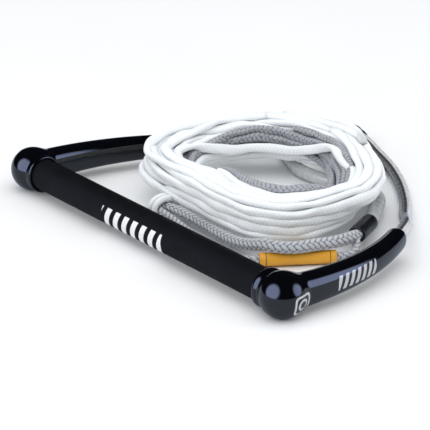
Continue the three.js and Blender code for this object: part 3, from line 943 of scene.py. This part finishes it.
def shoulder(u, degrees):
    """How far the bundle's top slopes down towards the hole: a fan at the left, a ramp at the right."""
    fan = 13.0 * hump(degrees, 232, 42) * smoothstep(10, -20, u)
    ramp = 25.0 * hump(degrees, 20, 36) * smoothstep(7, -30, u)
    return fan + ramp


def white_edge(up, degrees):
    """Nearest to the hole that white turns are laid at a height, leaving the inner wall to the grey ones."""
    right = 23 * hump(degrees, 20, 38) * smoothstep(16, 43, up)
    back = 11 * hump(degrees, 130, 46) * smoothstep(25, 31, up)
    front = 8 * hump(degrees, -50, 38) * smoothstep(30, 38, up)
    return -20 + right + back + front


def coil_base(theta):
    """Middle of the bundle at an angle, and the outward direction there."""
    right = smoothstep(-0.3, 0.6, np.cos(theta))
    semi_x = 87 + 6 * right
    point = np.stack([COIL_CENTRE[0] + semi_x * np.cos(theta), COIL_CENTRE[1] + 81 * np.sin(theta)], axis=-1)
    normal = unit(np.stack([np.cos(theta) / semi_x, np.sin(theta) / 81], axis=-1))
    degrees = np.degrees(theta)
    dent = sum(depth * hump(degrees, at, spread) for at, spread, depth in DENTS)
    dent = dent + bundle_size(degrees)[0] - 16.4
    return point - dent[..., None] * normal, normal


GREY_KEYS = (-95, -45, 0, 45, 75, 110, 150, 200, 240)
GREY_HOMES = (
    ((-16, 39), (-16, 45), (-8, 47), (-3, 45), (-14, 45), (-18, 44), (-18, 44), (-22, 35), (-8, 26)),
    ((-17, 32), (-17, 38), (-13, 41), (-8, 40), (-17, 39), (-18, 38), (-18, 38), (-10, 30), (-4, 24)),
    ((-16, 27), (-17, 32), (-18, 36), (-13, 36), (-18, 34), (-17, 33), (-17, 33), (-4, 28), (0, 22)),
    ((-15, 22), (-17, 26), (-22, 31), (-18, 31), (-22, 30), (-11, 40), (-10, 36), (-4, 24), (-6, 20)),
    ((-10, 19), (-14, 20), (-27, 26), (-24, 26), (-24, 25), (-11, 34), (-8, 30), (0, 24), (-2, 19)),
    ((-5, 19), (-9, 18), (-30, 20), (-30, 20), (-26, 19), (-11, 28), (-6, 25), (4, 22), (2, 18)),
)


CHORD_KEYS = (42, 64, 84, 104, 170, 195, 225)
CHORD_PLACES = ((0, 49), (-11, 51.5), (-22, 41), (-25, 30), (-24, 30), (-24, 36), (-12, 43))


def keyed(degrees, keys, values):
    """Values at the keys joined smoothly all the way round."""
    keys = np.asarray(keys, float)
    around = np.append(keys, keys[0] + 360)
    level = (degrees - keys[0]) % 360 + keys[0]
    slot = np.clip(np.searchsorted(around, level, side="right") - 1, 0, len(keys) - 1)
    share = smoothstep(0, 1, (level - around[slot]) / (around[slot + 1] - around[slot]))
    values = np.asarray(values, float)
    nearby = values[slot], values[(slot + 1) % len(keys)]
    return nearby[0] + share[:, None] * (nearby[1] - nearby[0])


def start_angle():
    return math.radians(118)


def home_places(degrees):
    """Starting places of every turn in the bundle: (across, up) for each turn and station."""
    columns = 4
    half_width, bottom, top = bundle_size(degrees)
    homes = np.zeros((WHITE_TURNS + GREY_TURNS, STATIONS, 2))
    for turn in range(WHITE_TURNS):
        row, place = divmod(turn, columns)
        column = place if row % 2 == 0 else columns - 1 - place
        homes[turn, :, 0] = (-8.5 + column * 8.5) * half_width / 16.4
        homes[turn, :, 1] = bottom + (top - bottom) * row / (WHITE_TURNS / columns - 1)
    tau = np.arange(WHITE_TURNS * STATIONS) / STATIONS
    fan = 4.5 + 6.5 * hump(degrees, 210, 55)
    homes[:WHITE_TURNS, :, 0] += waves(3, tau, (0.31, 0.83, 1.47, 2.3)).reshape(WHITE_TURNS, STATIONS) * fan
    homes[:WHITE_TURNS, :, 1] += waves(4, tau, (0.33, 0.79, 1.21, 2.1), 2.6).reshape(WHITE_TURNS, STATIONS)
    white = homes[:WHITE_TURNS]
    white[..., 0] = np.maximum(white[..., 0], white_edge(white[..., 1], degrees))
    for k, values in enumerate(GREY_HOMES):
        homes[WHITE_TURNS + k] = keyed(degrees, GREY_KEYS, values)
    return homes


def eased(places, first, count, amount):
    """Pulls each point of one continuous rope towards the middle of its neighbours."""
    line = places[first:first + count].reshape(-1, 2)
    for reach in (1, 3):
        middle_of = line.copy()
        middle_of[reach:-reach] = (line[:-2 * reach] + line[2 * reach:]) / 2
        line = line + (middle_of - line) * amount
    places[first:first + count] = line.reshape(count, STATIONS, 2)


def in_bundle(places, degrees):
    """Places as shares of the bundle's half width and half height."""
    half_width, bottom, top = bundle_size(degrees)
    return places[..., 0] / half_width, (places[..., 1] - bottom) / (top - bottom) * 2 - 1


def from_shares(u, v, degrees):
    half_width, bottom, top = bundle_size(degrees)
    return np.stack([u * half_width, bottom + (v + 1) * (top - bottom) / 2], axis=-1)


def settled(homes, pull, loose, degrees, rounds=260):
    """Pushes turns apart until they lie side by side inside the bundle, keeping each rope smooth."""
    places = homes.copy()
    pairs = np.triu_indices(len(places), 1)
    half = GREY_TURNS // 2
    for step in range(rounds):
        gap = places[pairs[0]] - places[pairs[1]]
        apart = np.linalg.norm(gap, axis=2)
        push = np.clip(STRAND - apart, 0, None) / np.maximum(apart, 0.05) * 0.32
        move = gap * push[..., None]
        shift = np.zeros_like(places)
        np.add.at(shift, pairs[0], move)
        np.add.at(shift, pairs[1], -move)
        places += shift
        places += (homes - places) * pull * (0.06 if step < rounds * 0.7 else 0.02)
        u, v = in_bundle(places, degrees)
        lean = LEAN[2] * hump(degrees, *LEAN[:2]) / bundle_size(degrees)[0]
        leant = u + lean * smoothstep(0.3, -0.7, v)
        square = np.where((u > 0) & (v < 0), 7.0, 3.6)
        out = (np.abs(leant) ** square + np.abs(v) ** square) ** (1 / square)
        squeeze = np.where((out > 1) & ~loose, 1 / np.maximum(out, 1e-6), 1.0)
        places += (from_shares(u - leant * (1 - squeeze), v * squeeze, degrees) - places) * 0.7
        limit = bundle_size(degrees)[2] - shoulder(places[..., 0], degrees)
        places[..., 1] = np.minimum(places[..., 1], np.where(loose, 60, limit))
        for first, count in ((0, WHITE_TURNS), (WHITE_TURNS, half), (WHITE_TURNS + half, half)):
            eased(places, first, count, 0.35)
    return places


def span(degrees, start, end, ease=14):
    """1 between two angles, fading to 0 beyond them."""
    away = np.abs((degrees - (start + end) / 2 + 180) % 360 - 180)
    return smoothstep((end - start) / 2 + ease, (end - start) / 2 - ease, away)


def led(homes, pull, loose, turn, weight, across, up):
    """Leads one turn through a place of its own where weight is near 1."""
    place = np.stack(np.broadcast_arrays(across, up, weight)[:2], axis=-1)
    homes[turn] += (place - homes[turn]) * weight[:, None]
    pull[turn, :, 0] += 8 * weight
    loose[turn] |= weight > 0.3


def coil():
    theta = start_angle() - np.arange(STATIONS) / STATIONS * 2 * math.pi
    degrees = np.degrees(theta)
    homes = home_places(degrees)
    loose = np.zeros(homes.shape[:2], bool)
    pull = np.ones((*homes.shape[:2], 1))
    pull[WHITE_TURNS:] = 3.0
    chord, late = span(degrees, 62, 212), degrees < -60
    across, up = keyed(degrees, CHORD_KEYS, CHORD_PLACES).T
    led(homes, pull, loose, WHITE_TURNS - 2, chord * late, across, up)
    led(homes, pull, loose, WHITE_TURNS - 1, chord * ~late, across, up)
    loose[WHITE_TURNS] |= hump(degrees, -50, 50) > 0.4
    led(homes, pull, loose, WHITE_TURNS - 9, hump(degrees, 207, 16), 33, 34)
    places = settled(homes, pull, loose, degrees)
    base, normal = coil_base(theta)

    def in_space(first, count):
        u = places[first:first + count, :, 0]
        v = places[first:first + count, :, 1]
        plan = base[None] + u[..., None] * normal[None]
        return np.concatenate([plan, v[..., None]], axis=2).reshape(-1, 3)

    def roll_of(first, count):
        """Turns a strand's flat side to the bundle's nearest face."""
        u, v = in_bundle(places[first:first + count], degrees)
        return np.arctan2(np.sign(u) * np.abs(u) ** 3, np.abs(v) ** 3 + 0.15).reshape(-1)

    end = int(STATIONS * 0.4)
    rope(
        "main_line_rope", in_space(0, WHITE_TURNS)[:-end], roll_of(0, WHITE_TURNS)[:-end], WHITE,
        "white_rope", 8.4, 5.9, 2.4, 14, 11, None, ["main_line"],
    )
    half = GREY_TURNS // 2
    relief = braid_relief(8, 17, 0.75)
    for name, first in (("first_takeoff_rope", WHITE_TURNS), ("second_takeoff_rope", WHITE_TURNS + half)):
        rope(
            name.replace("rope", "strand"), in_space(first, half)[:-end], roll_of(first, half)[:-end], GREY,
            "grey_braid", 8.0, 5.9, 1.15, 24, 12, relief, [name],
        )


def rope(name, path, roll, look, slot, width, height, spacing, sides, seed, relief, stands_for):
    length = np.concatenate([[0], np.cumsum(np.linalg.norm(np.diff(path, axis=0), axis=1))])
    fine = evenly(softened(path, 3), spacing)
    at = np.linspace(0, length[-1], len(fine))
    turns = np.linspace(0, len(path) / STATIONS, len(fine))
    shake = np.stack([waves(seed + 20 + k, turns, (8.3, 13.1, 21.7), 0.35) for k in range(3)], axis=1)
    fine = fine + shake
    twist = np.interp(at, length, roll) + waves(seed + 5, turns, (1.7, 3.1, 5.3, 11.0), 0.35)
    wide = width * (1 + waves(seed, turns, (4.1, 7.7, 13.0), 0.08))
    tall = height * (1 + waves(seed + 1, turns, (5.3, 9.1, 15.0), 0.09))
    swept(
        name, fine, wide, tall, look, "line", sides=sides, roll=-twist, relief=relief, square=2.4,
        stands_for=stands_for, slot=slot,
    )


def boat_end_eye():
    """Spliced eye at the line's other end, laid flat on the coil."""
    theta = np.radians(np.linspace(66, 130, 33))
    base, normal = coil_base(theta)
    share = np.linspace(0, 1, 33)
    half = 5.6 * np.sin(math.pi * smoothstep(0.12, 1.0, share)) ** 0.5
    height = 50.4 + 0.6 * np.sin(share * 5)
    out = np.concatenate([base + (10 + half)[:, None] * normal, height[:, None]], axis=1)
    back = np.concatenate([base + (10 - half)[:, None] * normal, height[:, None]], axis=1)
    path = smooth_curve(np.vstack([out[::4], back[::-1][::4]]), 1.6)
    swept(
        "boat_end_eye", path, 7.6, 5.2, WHITE, "line", sides=14,
        stands_for=["boat_end_loop"], slot="white_rope",
    )


# ---- CAD pieces that stay, inside the handle ----

def inner_pieces():
    looks = {
        "bar_tube": metal_look("drawn_aluminium", (0.70, 0.71, 0.73), 0.32, (0.05, 1, 1)),
        "bar_foam_core": plain_look("flotation_foam", (0.82, 0.78, 0.64), (0.62, 0.57, 0.44), 700, 0.9, 0.3),
        "end_plug": plain_look("plug_plastic", (0.014, 0.014, 0.016), (0.007, 0.007, 0.008), 500, 0.5, 0.1),
        "lock_screw": metal_look("stainless_screw", (0.55, 0.56, 0.57), 0.3, (1, 1, 0.1)),
        "rope_stop": metal_look("swaged_aluminium", (0.66, 0.67, 0.69), 0.38, (1, 1, 0.2)),
    }
    for node, piece in frame["nodes"].items():
        for key, look in looks.items():
            if node.endswith(key):
                piece.data.materials.clear()
                piece.data.materials.append(look)


# ---- Studio ----

FRAME_PIXELS = 430
FOCAL_PIXELS = 2484.0
SENSOR = 36.0
CAMERA_PLACE = np.array([1534.64, -1098.85, 773.79])
CAMERA_PITCH = math.radians(21.538)
CAMERA_YAW = math.radians(52.776)


def camera():
    data = bpy.data.cameras.new("camera")
    data.sensor_width = SENSOR
    data.lens = FOCAL_PIXELS / FRAME_PIXELS * SENSOR
    data.clip_start, data.clip_end = 0.05, 50
    made = bpy.data.objects.new("camera", data)
    made.location = (CAMERA_PLACE + ORIGIN) * MM
    made.rotation_euler = (math.pi / 2 - CAMERA_PITCH, 0, CAMERA_YAW)
    bpy.context.scene.collection.objects.link(made)
    bpy.context.scene.camera = made


def softbox(name, azimuth, elevation, distance, size, power, colour):
    """Area light that faces the object. Azimuth is clockwise from +Y."""
    data = bpy.data.lights.new(name, "AREA")
    data.shape = "RECTANGLE"
    data.size, data.size_y = size
    data.energy = power
    data.color = colour
    a, e = math.radians(azimuth), math.radians(elevation)
    away = Vector((math.sin(a) * math.cos(e), math.cos(a) * math.cos(e), math.sin(e)))
    made = bpy.data.objects.new(name, data)
    target = Vector((ORIGIN + [0, 90, 20]) * MM)
    made.location = target + away * distance
    made.rotation_mode = "QUATERNION"
    made.rotation_quaternion = away.to_track_quat("Z", "Y")
    made.visible_glossy = False
    made.visible_camera = False
    bpy.context.scene.collection.objects.link(made)


def world():
    """Even light for matt surfaces; glossy ones see a dark room with soft-edged panels in it."""
    made = bpy.data.worlds.new("studio")
    bpy.context.scene.world = made
    made.use_nodes = True
    tree = made.node_tree
    background = tree.nodes["Background"]
    direction = tree.nodes.new("ShaderNodeTexCoord").outputs["Generated"]
    room = panel(tree, direction, (-0.06, -1.0, 0.46), 0.76, 0.90, (0.012, 0.014, 0.022), (3.4, 4.0, 6.2))
    room = panel(tree, direction, (0.66, 0.70, 0.33), 0.88, 0.97, room, (3.0, 3.6, 5.6))
    path = tree.nodes.new("ShaderNodeLightPath")
    mix = tree.nodes.new("ShaderNodeMix")
    mix.data_type = "RGBA"
    mix.inputs[6].default_value = (0.97, 0.985, 1.0, 1)
    tree.links.new(room, mix.inputs[7])
    tree.links.new(path.outputs["Is Glossy Ray"], mix.inputs[0])
    tree.links.new(mix.outputs[2], background.inputs["Color"])
    background.inputs["Strength"].default_value = 0.78


def panel(tree, direction, towards, edge, core, behind, colour):
    """Adds a soft round panel to a sky. edge and core are cosines of where it starts and where it is full."""
    dot, ramp, mix = (tree.nodes.new(f"ShaderNode{kind}") for kind in ("VectorMath", "MapRange", "Mix"))
    dot.operation = "DOT_PRODUCT"
    dot.inputs[1].default_value = unit(np.array(towards))
    ramp.interpolation_type = "SMOOTHSTEP"
    ramp.inputs["From Min"].default_value = edge
    ramp.inputs["From Max"].default_value = core
    mix.data_type = "RGBA"
    tree.links.new(direction, dot.inputs[0])
    tree.links.new(dot.outputs["Value"], ramp.inputs["Value"])
    tree.links.new(ramp.outputs[0], mix.inputs[0])
    if isinstance(behind, tuple):
        mix.inputs[6].default_value = (*behind, 1)
    else:
        tree.links.new(behind, mix.inputs[6])
    mix.inputs[7].default_value = (*colour, 1)
    return mix.outputs[2]


def floor():
    look = Look("pale_floor", Roughness=0.9, Specular_IOR_Level=0.1)
    pale = look.mix(look.noise(6, 2), (0.86, 0.865, 0.87), (0.90, 0.905, 0.91))
    # Painted reflection: glossy rays see the floor in a darker blue-grey than the camera does.
    mirrored = look.node("ShaderNodeLightPath").outputs["Is Glossy Ray"]
    look.set(Base_Color=look.mix(mirrored, pale, (0.50, 0.55, 0.64)))
    size = 4000.0
    points = np.array([(-size, -size, -0.3), (size, -size, -0.3), (size, size, -0.3), (-size, size, -0.3)])
    made = make("floor", points, [(0, 1, 2, 3)], look.material, None)


def studio():
    floor()
    world()
    camera()
    softbox("front_softbox", 176, 27, 1.9, (1.5, 1.1), 9, (0.96, 0.98, 1.0))
    softbox("back_softbox", 40, 24, 2.2, (1.0, 0.7), 6, (0.96, 0.98, 1.0))
    softbox("top_softbox", 150, 78, 1.9, (2.2, 2.2), 16, (1.0, 1.0, 1.0))
    scene = bpy.context.scene
    scene.view_settings.view_transform = "Standard"
    scene.view_settings.look = "None"


# Each dark colour is also the painted shade in its rope's grooves and between turns.
WHITE = rope_look(
    "white_rope", (0.88, 0.905, 0.92), (0.78, 0.81, 0.83), 8, 15, depth=0.25, glow=0.35, shade=0.8,
)
GREY = rope_look(
    "grey_takeoff_braid", (0.42, 0.43, 0.46), (0.11, 0.115, 0.13), 8, 17, depth=0.2, shade=0.35, raised=True,
)

grip()
arms()
bridle_ropes()
yoke()
coated_section()
end_sleeve()
eye()
label()
hitch()
coil()
boat_end_eye()
inner_pieces()
studio()
